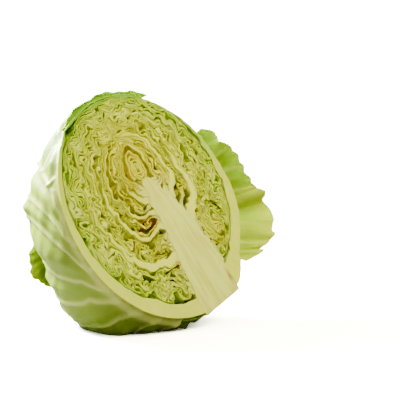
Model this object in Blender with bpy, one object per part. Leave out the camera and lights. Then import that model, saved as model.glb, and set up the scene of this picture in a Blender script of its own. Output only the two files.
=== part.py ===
"""Half a head of cabbage, cut through the stalk and resting on the flat spot of its round back.

The head is built in its own frame: x across the cut face, y the depth behind it, z along the
stalk from its cut base.  Every leaf is a shell between two surfaces of one nested family, so the
leaves lie inside each other without touching.  Lengths are millimetres until a mesh is made.
"""
import bmesh
import bpy
import numpy as np

MM = 0.001

# --- size of the head, measured on the cut face ---
HALF_WIDTH = 96.0          # from the middle of the face to its rim
HEAD_DEPTH = 101.0         # from the cut face to the back
HEART_HALF = 12.0          # half width of the space left for the heart bud
OUTER_BASE, OUTER_TOP = 2.0, 192.0
INNER_BASE, INNER_TOP = 112.0, 147.0
OUTER_SHIFT, INNER_SHIFT = -8.0, -7.0

# --- how the half lies on the table ---
FACE_AZIMUTH = np.radians(46.0)     # the cut face looks to the right of straight ahead
FACE_TILT = np.radians(22.0)        # and leans back by this much
FACE_ROLL = np.radians(21.7)        # stalk leaning to the left within the face
STALK_HEIGHT = 19.0        # the cut base of the stalk stands this far off the table
FLAT_REACH = 17.0          # the underside settles on the table from this height
FLAT_BLEND = 42.0          # and sinks a little for this much further up
STALK_STIFF = (40.0, 28.0) # no sinking over this half width and depth round the stalk
SINK_DEPTH = 24.0          # full sinking only this far behind the cut and the stiff part
SINK_HEIGHT = 60.0         # felt this far up inside the head
SAG = 10.0                 # how far the lower back spreads outwards
SAG_HEIGHT = 78.0          # and up to which height
SAG_DEPTH = 45.0           # full spread only this far behind the cut

# --- leaves ---
LEAF_KINDS = "ABccccccccAcccccBAccABccAccc"     # A, B: midrib cut on the left, right; c: neither
LAMINA = 1.4               # leaf blade
LEAF_SHARE = 0.6           # most of the room that the blades may fill
# leaf: midrib thickness where it leaves the stalk, and how far round the outline it runs
RIBS = {0: (15.0, 0.42), 1: (17.0, 0.36), 10: (10.0, 0.26), 16: (11.0, 0.30),
        17: (7.0, 0.30), 20: (6.0, 0.42), 21: (8.0, 0.50), 24: (5.0, 0.25)}
RIB_WIDTH = np.radians(12.0)
CROWDING = 0.5             # how much closer the outer leaves lie on the left side
CROWDING_AT, CROWDING_WIDTH = 0.23, 0.12
GAP = 0.3                  # air between touching pieces
AROUND, BACK = 16, 4       # facets round the outline and towards the back
FINE = 2.5                 # the outermost leaf has this many times as many
FOLD = 0.10                # the outermost leaf stands off in a fold, as a share of the width
FOLD_AT = (0.405, 0.68)    # round the outline and towards the back
FOLD_SIZE = (0.03, 0.09)

# --- leaves that stand off the head ---
LOOSE = 1.2                # thickness of a loose leaf
FLAP_DEPTH = 4.0           # their free edges are this far behind the cut
FLAP_WAVE = 1.5
UPPER_FLAP, UPPER_STAND_OFF = (17.0, -17.0), (15.0, 21.0, 26.0, 32.0, 33.0)
LOWER_FLAP, LOWER_STAND_OFF = (-19.5, -52.0), (33.0, 46.0, 44.0, 31.0, 8.0)

# --- stalk: height, left edge, right edge ---
CORE_EDGES = ((0.0, -27.0, 28.0), (4.0, -25.0, 25.5), (20.0, -23.5, 25.0), (35.0, -21.0, 24.0),
              (50.0, -20.0, 22.0), (66.0, -17.0, 20.0), (82.0, -14.0, 16.5), (100.0, -14.0, 9.0),
              (112.0, -13.0, 3.0), (119.0, -9.0, -3.0))
CORE_FACETS = 12

# --- colours ---
PALETTE = {
    "wrapper_green": ((0.56, 0.68, 0.28, 1.0), 0.45),
    "rib_leaf": ((0.78, 0.82, 0.48, 1.0), 0.45),
    "inner_leaf": ((0.76, 0.78, 0.32, 1.0), 0.50),
    "heart_yellow": ((0.84, 0.76, 0.30, 1.0), 0.50),
    "core_cream": ((0.90, 0.87, 0.66, 1.0), 0.50),
    "loose_green": ((0.38, 0.60, 0.10, 1.0), 0.45),
    "loose_pale": ((0.66, 0.78, 0.36, 1.0), 0.45),
    "stub_dark": ((0.25, 0.34, 0.08, 1.0), 0.60),
}


def clear_scene():
    """Start from nothing."""
    for obj in list(bpy.data.objects):
        bpy.data.objects.remove(obj, do_unlink=True)


def material(slot):
    """The one material of a slot."""
    mat = bpy.data.materials.get(slot)
    if mat is None:
        mat = bpy.data.materials.new(slot)
        mat.use_nodes = True
        shader = mat.node_tree.nodes["Principled BSDF"]
        colour, roughness = PALETTE[slot]
        shader.inputs["Base Color"].default_value = colour
        shader.inputs["Roughness"].default_value = roughness
        shader.inputs["Metallic"].default_value = 0.0
    return mat


def smoothstep(value):
    """Ease from 0 to 1."""
    t = np.clip(value, 0.0, 1.0)
    return t * t * (3.0 - 2.0 * t)


def face_axes():
    """World directions of the face normal, the lateral axis and the stalk axis."""
    sin_a, cos_a = np.sin(FACE_AZIMUTH), np.cos(FACE_AZIMUTH)
    sin_t, cos_t = np.sin(FACE_TILT), np.cos(FACE_TILT)
    normal = np.array([sin_a * cos_t, -cos_a * cos_t, sin_t])
    level = np.array([cos_a, sin_a, 0.0])
    rise = np.array([-sin_a * sin_t, cos_a * sin_t, cos_t])
    stalk = np.cos(FACE_ROLL) * rise - np.sin(FACE_ROLL) * level
    lateral = np.cos(FACE_ROLL) * level + np.sin(FACE_ROLL) * rise
    return normal, lateral, stalk


def shell_point(s, around, back):
    """Head-frame point of the nested family: s=0 is the rim, s=1 the space of the heart bud.

    around runs 0..1 from the stalk up the left side, over the top and down the right side;
    back runs 0..1 from the cut face to the deepest point.
    """
    angle = -np.pi / 2 - 2 * np.pi * around
    depth_angle = back * np.pi / 2
    half = HALF_WIDTH + (HEART_HALF - HALF_WIDTH) * s
    depth = HEAD_DEPTH + (HEART_HALF - HEAD_DEPTH) * s
    base = OUTER_BASE + (INNER_BASE - OUTER_BASE) * s
    top = OUTER_TOP + (INNER_TOP - OUTER_TOP) * s
    shift = OUTER_SHIFT + (INNER_SHIFT - OUTER_SHIFT) * s
    x = shift + half * np.cos(angle) * np.cos(depth_angle)
    y = depth * np.sin(depth_angle)
    z = (base + top) / 2 + (top - base) / 2 * np.sin(angle) * np.cos(depth_angle)
    return np.stack([x, y, z], axis=-1)


def lowest_surface(flat_xy, centre, rows):
    """Height of the underside of the outer ellipsoid above each point of the table."""
    offset = np.concatenate([flat_xy - centre[:2], np.zeros((len(flat_xy), 1))], axis=1) @ rows.T
    up = rows[:, 2]
    a = up @ up
    b = offset @ up
    c = np.sum(offset * offset, axis=1) - 1.0
    root = np.sqrt(np.maximum(b * b - a * c, 0.0))
    return centre[2] + (-b - root) / a


def place(points):
    """Head frame to world: turn, let the underside settle flat, spread the lower back."""
    normal, lateral, stalk = face_axes()
    half_height = (OUTER_TOP - OUTER_BASE) / 2
    middle = OUTER_SHIFT * lateral + (OUTER_TOP + OUTER_BASE) / 2 * stalk
    rows = np.stack([lateral / HALF_WIDTH, normal / HEAD_DEPTH, stalk / half_height])
    x, y, z = points[..., 0], points[..., 1], points[..., 2]
    world = x[..., None] * lateral - y[..., None] * normal + z[..., None] * stalk
    flat = world.reshape(-1, 3)
    depth = y.reshape(-1)
    under = lowest_surface(flat[:, :2], middle, rows)
    height = under + STALK_HEIGHT
    sink = np.where(height < FLAT_REACH, height,
                    FLAT_REACH * (1.0 - smoothstep((height - FLAT_REACH) / FLAT_BLEND)))
    share = np.clip(1.0 - (flat[:, 2] - under) / SINK_HEIGHT, 0.0, 1.0)
    wide, deep = STALK_STIFF
    stiff = deep * np.sqrt(np.maximum(1.0 - (x.reshape(-1) / wide) ** 2, 0.0))
    flat[:, 2] += STALK_HEIGHT - sink * share * smoothstep((depth - stiff) / SINK_DEPTH)
    away = -normal[:2] / np.hypot(normal[0], normal[1])
    spread = SAG * smoothstep(depth / SAG_DEPTH) * smoothstep((SAG_HEIGHT - flat[:, 2]) / SAG_HEIGHT)
    flat[:, :2] += spread[:, None] * away
    return flat.reshape(points.shape)


def make_object(name, verts, faces, slot):
    """A smooth mesh object of its own, from millimetres."""
    mesh = bpy.data.meshes.new(name)
    mesh.from_pydata([tuple(v * MM) for v in verts], [], faces)
    mesh.materials.append(material(slot))
    shell = bmesh.new()
    shell.from_mesh(mesh)
    bmesh.ops.recalc_face_normals(shell, faces=shell.faces)
    shell.to_mesh(mesh)
    shell.free()
    mesh.polygons.foreach_set("use_smooth", [True] * len(mesh.polygons))
    obj = bpy.data.objects.new(name, mesh)
    bpy.context.scene.collection.objects.link(obj)
    return obj


def rib_thickness(index, kind, around, back):
    """Extra thickness of a leaf along its cut midrib."""
    if index not in RIBS:
        return 0.0 * around
    thickness, length = RIBS[index]
    run = around if kind == "A" else 1.0 - around
    fade = np.exp(-(back * np.pi / 2 / RIB_WIDTH) ** 2)
    return thickness * np.clip(1.0 - run / length, 0.0, 1.0) ** 0.8 * fade


def present(kind, around, back):
    """Whether a leaf has blade there: rib leaves cover their own side and the back."""
    run = around if kind == "A" else 1.0 - around
    return np.ones_like(around, bool) if kind == "c" else (run < 0.57) | (back > 0.5)


def leaf_levels(around, back):
    """Outer and inner family levels of every leaf at each lattice point."""
    count = len(LEAF_KINDS)
    room = np.linalg.norm(shell_point(0.0, around, back) - shell_point(1.0, around, back), axis=-1)
    blade = np.minimum(LAMINA, LEAF_SHARE * room / count)
    thick = [blade + rib_thickness(index, kind, around, back)
             for index, kind in enumerate(LEAF_KINDS)]
    thick = np.array(thick)
    thick = thick * np.minimum(1.0, 0.72 * room / thick.sum(axis=0))
    air = room - thick.sum(axis=0)
    power = 1.0 + CROWDING * np.exp(-((around - CROWDING_AT) / CROWDING_WIDTH) ** 2)
    shares = (np.arange(count).reshape(-1, 1, 1) / count) ** power
    outer = np.cumsum(thick, axis=0) - thick + air * shares
    return outer / room, (outer + thick) / room


def shell_mesh(outer, inner, cells, around_count, back_count):
    """Closed shell over the chosen lattice cells, with walls along every open border."""
    ring = around_count
    pole = ring * back_count
    layer = pole + 1

    def vertex(i, j, side):
        return side * layer + (pole if j == back_count else j * ring + i % ring)

    points = np.zeros((2 * layer, 3))
    for side, grid in enumerate((outer, inner)):
        for j in range(back_count):
            for i in range(ring):
                points[vertex(i, j, side)] = grid[j, i]
        points[vertex(0, back_count, side)] = grid[back_count, 0]
    faces = []
    borders = {}
    for j in range(back_count):
        for i in range(ring):
            if not cells[j, i]:
                continue
            corners = [(i, j), (i + 1, j), (i + 1, j + 1), (i, j + 1)]
            top = [vertex(a, b, 0) for a, b in corners]
            top = [v for k, v in enumerate(top) if v != top[k - 1]]
            for triangle in [[top[0], top[k], top[k + 1]] for k in range(1, len(top) - 1)]:
                faces.append(triangle)
                faces.append([v + layer for v in reversed(triangle)])
            for k, start in enumerate(top):
                edge = (start, top[(k + 1) % len(top)])
                if borders.pop((edge[1], edge[0]), None) is None:
                    borders[edge] = True
    faces.extend([b, a, a + layer, b + layer] for a, b in borders)
    used = sorted({v for face in faces for v in face})
    index = {v: k for k, v in enumerate(used)}
    return points[used], [[index[v] for v in face] for face in faces]


def lattice(around_count, back_count):
    """Lattice coordinates, the last column left out because the ring closes."""
    around = np.arange(around_count) / around_count
    back = np.arange(back_count + 1) / back_count
    return np.meshgrid(around, back)


def leaf_slot(index, kind):
    """Green outside, pale where a midrib is cut, yellow towards the heart."""
    if index < 2:
        return "wrapper_green"
    if kind in "AB":
        return "rib_leaf"
    return "inner_leaf" if index < 20 else "heart_yellow"


def fold_level(around, back):
    """How far the outermost leaf stands off in its fold."""
    across = (around - FOLD_AT[0]) / FOLD_SIZE[0]
    along = (back - FOLD_AT[1]) / FOLD_SIZE[1]
    return FOLD * np.exp(-across ** 2 - along ** 2)


def build_leaves(cutter):
    """All nested leaves, each cleared from the stalk."""
    for index, kind in enumerate(LEAF_KINDS):
        fine = FINE if index == 0 else 1.0
        around_count, back_count = int(AROUND * fine), int(BACK * fine)
        around, back = lattice(around_count, back_count)
        outer, inner = leaf_levels(around, back)
        mid_around = around[:-1] + 0.5 / around_count
        mid_back = back[:-1] + 0.5 / back_count
        cells = present(kind, mid_around, mid_back)
        fold = fold_level(around, back) if index == 0 else 0.0
        outside = place(shell_point(outer[index] - fold, around, back))
        inside = place(shell_point(inner[index] - fold, around, back))
        verts, faces = shell_mesh(outside, inside, cells, around_count, back_count)
        leaf = make_object(f"leaf_{index:02d}", verts, faces, leaf_slot(index, kind))
        clear_from(leaf, cutter)


def clear_from(obj, cutter):
    """Leave a hair of air round the stalk."""
    cut = obj.modifiers.new("stalk_gap", "BOOLEAN")
    cut.operation = "DIFFERENCE"
    cut.solver = "EXACT"
    cut.object = cutter


def half_loft(edges, grow, front):
    """Half-round body through the given edges, flat at the depth `front`."""
    turn = np.linspace(0.0, np.pi, CORE_FACETS + 1)
    rows = []
    for height, left, right in edges:
        middle, radius = (left + right) / 2, (right - left) / 2 + grow
        x = middle + radius * np.cos(turn)
        y = np.maximum(radius * np.sin(turn), 0.0)
        if front < 0.0:
            x = np.concatenate([x[:1], x, x[-1:]])
            y = np.concatenate([[front], y, [front]])
        rows.append(np.stack([x, y, np.full_like(x, height)], axis=-1))
    points = np.array(rows)
    count, width = points.shape[:2]
    faces = [list(range(width)), [(count - 1) * width + k for k in reversed(range(width))]]
    for r in range(count - 1):
        for k in range(width):
            a, b = r * width + k, r * width + (k + 1) % width
            faces.append([a, a + width, b + width, b])
    return points.reshape(-1, 3), faces


def build_core():
    """The stalk, and the slightly larger tool that clears the leaves from it."""
    points, faces = half_loft(CORE_EDGES, 0.0, 0.0)
    make_object("core", place(points), faces, "core_cream")
    low, high = CORE_EDGES[0], CORE_EDGES[-1]
    reach = ((low[0] - 12.0, low[1], low[2]),) + CORE_EDGES + ((high[0] + GAP, high[1], high[2]),)
    points, faces = half_loft(reach, GAP, -3.0)
    cutter = make_object("stalk_cutter", place(points), faces, "core_cream")
    cutter.hide_render = True
    cutter.display_type = "WIRE"
    return cutter


def build_heart(cutter):
    """Small half ball in the space the leaves leave open."""
    around, back = lattice(12, 4)
    outside = place(shell_point(np.full_like(around, 1.0), around, back))
    ring, rows = 12, 4
    points = [outside[j, i] for j in range(rows) for i in range(ring)] + [outside[rows, 0]]
    faces = [list(reversed(range(ring)))]
    for j in range(rows - 1):
        for i in range(ring):
            a, b = j * ring + i, j * ring + (i + 1) % ring
            faces.append([a, b, b + ring, a + ring])
    last = (rows - 1) * ring
    faces.extend([last + i, last + (i + 1) % ring, rows * ring] for i in range(ring))
    bud = make_object("heart_bud", np.array(points), faces, "heart_yellow")
    clear_from(bud, cutter)


def build_sheet(name, slot, surface, columns, rows):
    """Free leaf: a curved sheet from a function of (u, v) giving its near and far side."""
    u, v = np.meshgrid(np.linspace(0.0, 1.0, columns + 1), np.linspace(0.0, 1.0, rows + 1))
    near, far = (place(side).reshape(-1, 3) for side in surface(u, v))
    width = columns + 1
    layer = len(near)
    faces = []
    for r in range(rows):
        for c in range(columns):
            a = r * width + c
            for triangle in ([a, a + 1, a + 1 + width], [a, a + 1 + width, a + width]):
                faces.append(triangle)
                faces.append([k + layer for k in reversed(triangle)])
    rim = [c for c in range(width)] + [r * width + columns for r in range(1, rows + 1)]
    rim += [rows * width + c for c in range(columns - 1, -1, -1)]
    rim += [r * width for r in range(rows - 1, 0, -1)]
    for k, a in enumerate(rim):
        b = rim[(k + 1) % len(rim)]
        faces.append([b, a, a + layer, b + layer])
    return make_object(name, np.concatenate([near, far]), faces, slot)


def hugging(around, back, level):
    """Both sides of a sheet that lies on the head."""
    room = np.linalg.norm(shell_point(0.0, around, back) - shell_point(1.0, around, back), axis=-1)
    return shell_point(level, around, back), shell_point(level - LOOSE / room, around, back)


def flap(ends, stand_off, u, v, waves):
    """Both sides of a sheet that leaves the head behind the right rim and stands off it.

    ends are directions in the face, degrees up from level; stand_off is the distance of the
    free edge from the rim, given at even steps from one end to the other.
    """
    direction = ends[0] + (ends[1] - ends[0]) * u
    turn = np.radians(direction)
    far_off = np.interp(u, np.linspace(0.0, 1.0, len(stand_off)), stand_off)
    root = shell_point(-0.015, (270.0 - direction) / 360.0, 0.10 + 0.005 * far_off)
    middle = np.array([OUTER_SHIFT, 0.0, (OUTER_BASE + OUTER_TOP) / 2])
    outward = np.stack([np.cos(turn), np.zeros_like(turn), np.sin(turn)], axis=-1)
    wave = FLAP_WAVE * (1.0 + np.sin(waves * u))
    edge = middle + (HALF_WIDTH + far_off + wave)[..., None] * outward
    edge[..., 1] += FLAP_DEPTH
    near = root + (edge - root) * v[..., None]
    return near, near + LOOSE * (outward + np.array([0.0, 1.0, 0.0])) / np.sqrt(2.0)


def ruffled_a_sides(u, v):
    """Upper of the two leaves standing off the right rim."""
    return flap(UPPER_FLAP, UPPER_STAND_OFF, u, v, 14.0)


def ruffled_b_sides(u, v):
    """Lower of the two, reaching furthest out."""
    return flap(LOWER_FLAP, LOWER_STAND_OFF, u, v, 20.0)


def side_sides(u, v):
    """Lies on the left of the back and peels off at its front edge."""
    peel = v ** 2 * np.sin(np.pi * (0.15 + 0.75 * u))
    level = -0.012 - 0.20 * peel - 0.008 * v * (1.0 + np.sin(14.0 * u))
    return hugging(0.21 + 0.13 * u, 0.92 - 0.28 * v, level)


def crown_sides(u, v):
    """Over the top behind the rim, its edge a few millimetres higher than the cut."""
    level = -0.012 - 0.085 * v ** 2 * (0.4 + 0.6 * u) - 0.006 * v * (1.0 + np.sin(11.0 * u))
    return hugging(0.38 + 0.215 * u, 0.40 - 0.385 * v, level)


def stub_sides(u, v):
    """Short torn stub under the stalk base."""
    level = -0.012 - 0.018 * v - 0.004 * np.sin(5.0 * u)
    return hugging(0.028 + 0.04 * u, 0.012 + 0.045 * v, level)


def build_loose_leaves(cutter):
    """Leaves outside the tight head."""
    build_sheet("ruffled_leaf_a", "loose_green", ruffled_a_sides, 12, 5)
    build_sheet("ruffled_leaf_b", "loose_pale", ruffled_b_sides, 12, 5)
    build_sheet("side_leaf", "loose_green", side_sides, 8, 6)
    build_sheet("crown_leaf", "loose_green", crown_sides, 8, 5)
    clear_from(build_sheet("leaf_stub", "stub_dark", stub_sides, 4, 4), cutter)


def centre_on_floor():
    """Move everything so the middle of the footprint of its box is the origin."""
    depsgraph = bpy.context.evaluated_depsgraph_get()
    meshes = [o for o in bpy.data.objects if o.type == "MESH" and not o.hide_render]
    corners = []
    for obj in meshes:
        shape = obj.evaluated_get(depsgraph).data
        corners.extend(tuple(v.co) for v in shape.vertices)
    corners = np.array(corners)
    low, high = corners.min(axis=0), corners.max(axis=0)
    move = np.array([(low[0] + high[0]) / 2, (low[1] + high[1]) / 2, low[2]])
    for obj in (o for o in bpy.data.objects if o.type == "MESH"):
        for vert in obj.data.vertices:
            vert.co = tuple(np.array(vert.co) - move)
        obj.data.update()


def main():
    clear_scene()
    cutter = build_core()
    build_leaves(cutter)
    build_heart(cutter)
    build_loose_leaves(cutter)
    centre_on_floor()


main()
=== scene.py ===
"""The looks of half a head of cabbage, lying on its round back with the cut face up.

Each leaf is rebuilt as a fine closed shell in the place of its plain solid: blades crumple into
folds between the thick midribs, the way leaves grow when they have no room, and the knife has
gone through all of them in one plane.  Lengths are millimetres until a mesh is made.
"""

import bpy
import numpy as np
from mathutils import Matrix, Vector


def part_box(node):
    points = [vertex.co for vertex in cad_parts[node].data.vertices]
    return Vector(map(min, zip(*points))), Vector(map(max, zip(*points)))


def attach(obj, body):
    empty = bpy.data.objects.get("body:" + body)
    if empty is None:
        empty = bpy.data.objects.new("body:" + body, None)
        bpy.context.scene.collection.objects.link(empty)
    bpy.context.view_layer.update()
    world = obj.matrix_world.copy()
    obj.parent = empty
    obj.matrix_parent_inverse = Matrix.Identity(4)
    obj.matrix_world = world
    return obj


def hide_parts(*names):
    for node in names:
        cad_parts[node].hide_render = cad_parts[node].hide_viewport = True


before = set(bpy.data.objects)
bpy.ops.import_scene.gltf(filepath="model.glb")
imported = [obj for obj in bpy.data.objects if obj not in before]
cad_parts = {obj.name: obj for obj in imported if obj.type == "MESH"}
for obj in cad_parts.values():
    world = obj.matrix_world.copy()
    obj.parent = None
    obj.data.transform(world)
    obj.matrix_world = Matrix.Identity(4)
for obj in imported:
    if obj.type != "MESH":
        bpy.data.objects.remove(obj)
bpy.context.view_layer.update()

MM = 0.001

# --- the head, as in the solids ---
HALF_WIDTH, HEAD_DEPTH, HEART_HALF = 96.0, 101.0, 12.0
OUTER_BASE, OUTER_TOP = 2.0, 192.0
INNER_BASE, INNER_TOP = 112.0, 147.0
OUTER_SHIFT, INNER_SHIFT = -8.0, -7.0
FACE_AZIMUTH, FACE_TILT, FACE_ROLL = np.radians((46.0, 22.0, 21.7))
STALK_HEIGHT = 19.0
FLAT_REACH, FLAT_BLEND = 17.0, 42.0
STALK_STIFF = (40.0, 28.0)
SINK_DEPTH, SINK_HEIGHT = 24.0, 60.0
SAG, SAG_HEIGHT, SAG_DEPTH = 10.0, 78.0, 45.0
LEAF_KINDS = "ABccccccccAcccccBAccABccAccc"
RIBS = {0: (15.0, 0.42), 1: (17.0, 0.36), 10: (10.0, 0.26), 16: (11.0, 0.30),
        17: (7.0, 0.30), 20: (6.0, 0.42), 21: (8.0, 0.50), 24: (5.0, 0.25)}
RIB_WIDTH = np.radians(12.0)
CROWDING, CROWDING_AT, CROWDING_WIDTH = 0.5, 0.23, 0.12
CORE_EDGES = ((0.0, -27.0, 28.0), (4.0, -25.0, 25.5), (20.0, -23.5, 25.0), (35.0, -21.0, 24.0),
              (50.0, -20.0, 22.0), (66.0, -17.0, 20.0), (82.0, -14.0, 16.5), (100.0, -14.0, 9.0),
              (112.0, -13.0, 3.0), (119.0, -9.0, -3.0))
COUNT = len(LEAF_KINDS)
FIRST_HEART_LEAF = 20
HEAD_MIDDLE = (OUTER_TOP + OUTER_BASE) / 2
HALF_HEIGHT = (OUTER_TOP - OUTER_BASE) / 2
STALK_TIP = CORE_EDGES[-1][0]

# --- blades ---
BLADE = 0.95               # thickness of a leaf blade
BLADE_SHARE = 0.52         # most of the room that blades fill where they are crowded
ROWS_AT_CUT = (0.0, 0.5, 1.2, 2.1, 3.2, 4.6, 6.4, 8.6, 11.4, 15.0, 20.0, 27.0, 36.0, 48.0)
ROWS_BEHIND = 5
SAMPLE = 1.0      # spacing of points along a cut leaf
FUSE = 6.0                 # leaves grow together this far from the stalk
FUSE_AT_TIP = 6.0          # and this much further at its tip
BUNCHING = 0.45            # how unevenly the air lies between leaves
BUNCH_LENGTHS = (130.0, 75.0)
SIDE_VEIN_EVERY = 11.0     # between side veins along a cut leaf
SWELLING = 1.7             # extra thickness of a blade where a side vein is cut
# places on the cut face: x, z, half width, half height
RUST = ((-25.0, 85.0, 10.0, 5.0), (10.0, 91.0, 4.0, 3.0), (-22.0, 44.0, 6.0, 2.5))
SHELTERED = ((40.0, 52.0, 14.0, 15.0), (-48.0, 77.0, 12.0, 9.0), (-30.0, 62.0, 12.0, 9.0),
             (30.0, 95.0, 10.0, 16.0))
GREEN_SIDE = (0.43, 0.17)               # outer leaves are greenest here round the outline
SMALL_HOLES, SMALL_SEED = 110, 17       # small openings scattered between blades
# midribs against those of the solids
RIB_FULLNESS = {0: 0.92, 1: 0.95, 10: 0.75, 16: 1.1, 17: 0.6, 20: 0.4, 21: 0.65, 24: 0.4}
KNIFE_WANDER = 0.9         # cut edges of thin blades stay back from the plane by up to this
WAVE_SHARE, WAVE_MOST = 0.48, 2.6       # a leaf waves through this share of its air, up to this
MEETING = 0.47             # leaves that grow onto the stalk close this share of the air beside them
MARGIN_THINNING = 0.35     # free margins lose this share of their thickness on each face
KEEN_EDGE = 2.2            # ribs thicker than this keep a keen edge where they are cut
MOST_FILLED = 0.78         # leaves fill at most this share of the room, the rest is air
LOWEST = 0.05              # nothing reaches further down than this over the table

# --- crumpling: size of the folds, how far they push, number of waves added up ---
FOLDS = ((27.0, 5.0, 18), (14.0, 3.4, 24), (8.0, 2.0, 28), (5.0, 0.8, 30))
FOLD_DEPTH = 26.0          # a fold changes over this depth behind the cut
NEAT_TOP, NEAT_HEART = 0.5, 0.62        # leaves crumple this much less over the top and round the heart
FLOW_STEP, FLOW_LAYER = 1.0, 4.0
FLOW_STEPS = 8
FLOW_ACROSS, FLOW_UP, FLOW_BEHIND = (-112.0, 98.0), (-8.0, 200.0), (0.0, 108.0)    # its grid
HEART_PLACE = (-7.0, 140.0, 27.0)       # x, z and radius
CURL = (40.0, 52.0, 11.0, 26.0)         # x, z, radius and strength of the curl in the right pocket

# --- the bud: middle, half size, windings and thickness of its leaf ---
BUD_X, BUD_Z, BUD_WIDE, BUD_HIGH = -7.2, 129.5, 10.2, 15.5
BUD_TURNS, BUD_LEAF = 3.7, 1.0
BUD_DEPTH, BUD_ROUND = 11.0, 11.6       # how deep it goes, and where it would close to a point

# --- openings between leaves on the cut face: x, z, width along the leaf, opening, depth ---
HOLES = ((-20.0, 29.0, 8.0, 8.5, 16.0), (-62.0, 51.0, 6.0, 6.0, 16.0), (-74.0, 52.0, 5.0, 3.0, 10.0),
         (-24.0, 44.5, 7.0, 3.2, 12.0), (-27.0, 85.0, 8.0, 4.5, 14.0), (-22.0, 92.0, 5.0, 2.0, 10.0),
         (-50.0, 100.0, 5.0, 3.5, 12.0), (-44.0, 108.0, 7.0, 3.5, 12.0), (-48.0, 180.0, 10.0, 2.8, 12.0),
         (-32.0, 171.0, 6.0, 3.0, 10.0), (-42.0, 166.0, 5.0, 3.0, 10.0), (-62.0, 157.0, 6.0, 3.0, 12.0),
         (-62.0, 148.0, 4.0, 3.0, 12.0), (-78.0, 148.0, 8.0, 2.6, 10.0), (11.0, 90.0, 6.0, 4.0, 12.0),
         (8.0, 97.0, 5.0, 2.6, 10.0), (22.0, 44.0, 5.0, 3.2, 12.0), (45.0, 42.0, 8.0, 2.6, 12.0),
         (53.0, 72.0, 5.0, 3.0, 12.0), (27.0, 21.0, 4.0, 3.0, 8.0), (22.0, 155.0, 8.0, 4.0, 12.0),
         (44.0, 163.0, 6.0, 2.6, 10.0), (62.0, 147.0, 7.0, 2.6, 10.0), (17.0, 119.0, 4.0, 2.6, 8.0),
         (-84.0, 112.0, 12.0, 2.2, 10.0), (-70.0, 97.0, 5.0, 2.6, 10.0), (22.0, 63.0, 4.0, 2.0, 8.0))


def smoothstep(value):
    """Ease from 0 to 1."""
    t = np.clip(value, 0.0, 1.0)
    return t * t * (3.0 - 2.0 * t)


def value_noise(u, v, seed):
    """Smooth random field with one value per unit cell, between -1 and 1."""
    rng = np.random.default_rng(seed)
    table = rng.uniform(-1.0, 1.0, (64, 64))
    iu, iv = np.floor(u).astype(int), np.floor(v).astype(int)
    fu, fv = smoothstep(u - iu), smoothstep(v - iv)
    corner = [table[(iu + a) % 64, (iv + b) % 64] for a in (0, 1) for b in (0, 1)]
    low = corner[0] + (corner[1] - corner[0]) * fv
    high = corner[2] + (corner[3] - corner[2]) * fv
    return low + (high - low) * fu


def bump(value, middle, width):
    """A soft hill of height 1."""
    return np.exp(-((value - middle) / width) ** 2)


def leaf_radius(index):
    """Half width of the head where a leaf lies."""
    return HALF_WIDTH - (HALF_WIDTH - HEART_HALF) * index / COUNT


def depth_of(back):
    """How far behind the cut a place on the shells is."""
    return HEAD_DEPTH * np.sin(back * np.pi / 2)


def face_axes():
    """World directions of the face normal, the lateral axis and the stalk axis."""
    sin_a, cos_a = np.sin(FACE_AZIMUTH), np.cos(FACE_AZIMUTH)
    sin_t, cos_t = np.sin(FACE_TILT), np.cos(FACE_TILT)
    normal = np.array([sin_a * cos_t, -cos_a * cos_t, sin_t])
    level = np.array([cos_a, sin_a, 0.0])
    rise = np.array([-sin_a * sin_t, cos_a * sin_t, cos_t])
    stalk = np.cos(FACE_ROLL) * rise - np.sin(FACE_ROLL) * level
    lateral = np.cos(FACE_ROLL) * level + np.sin(FACE_ROLL) * rise
    return normal, lateral, stalk


def shell_point(s, around, back):
    """Head-frame point of the nested family: s=0 is the rim, s=1 the space of the heart bud."""
    angle = -np.pi / 2 - 2 * np.pi * around
    depth_angle = back * np.pi / 2
    half = HALF_WIDTH + (HEART_HALF - HALF_WIDTH) * s
    depth = HEAD_DEPTH + (HEART_HALF - HEAD_DEPTH) * s
    base = OUTER_BASE + (INNER_BASE - OUTER_BASE) * s
    top = OUTER_TOP + (INNER_TOP - OUTER_TOP) * s
    shift = OUTER_SHIFT + (INNER_SHIFT - OUTER_SHIFT) * s
    x = shift + half * np.cos(angle) * np.cos(depth_angle)
    y = depth * np.sin(depth_angle)
    z = (base + top) / 2 + (top - base) / 2 * np.sin(angle) * np.cos(depth_angle)
    return np.stack(np.broadcast_arrays(x, y, z), axis=-1)


def lowest_surface(flat_xy, centre, rows):
    """Height of the underside of the outer ellipsoid above each point of the table."""
    offset = np.concatenate([flat_xy - centre[:2], np.zeros((len(flat_xy), 1))], axis=1) @ rows.T
    up = rows[:, 2]
    a = up @ up
    b = offset @ up
    c = np.sum(offset * offset, axis=1) - 1.0
    root = np.sqrt(np.maximum(b * b - a * c, 0.0))
    return centre[2] + (-b - root) / a


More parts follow.
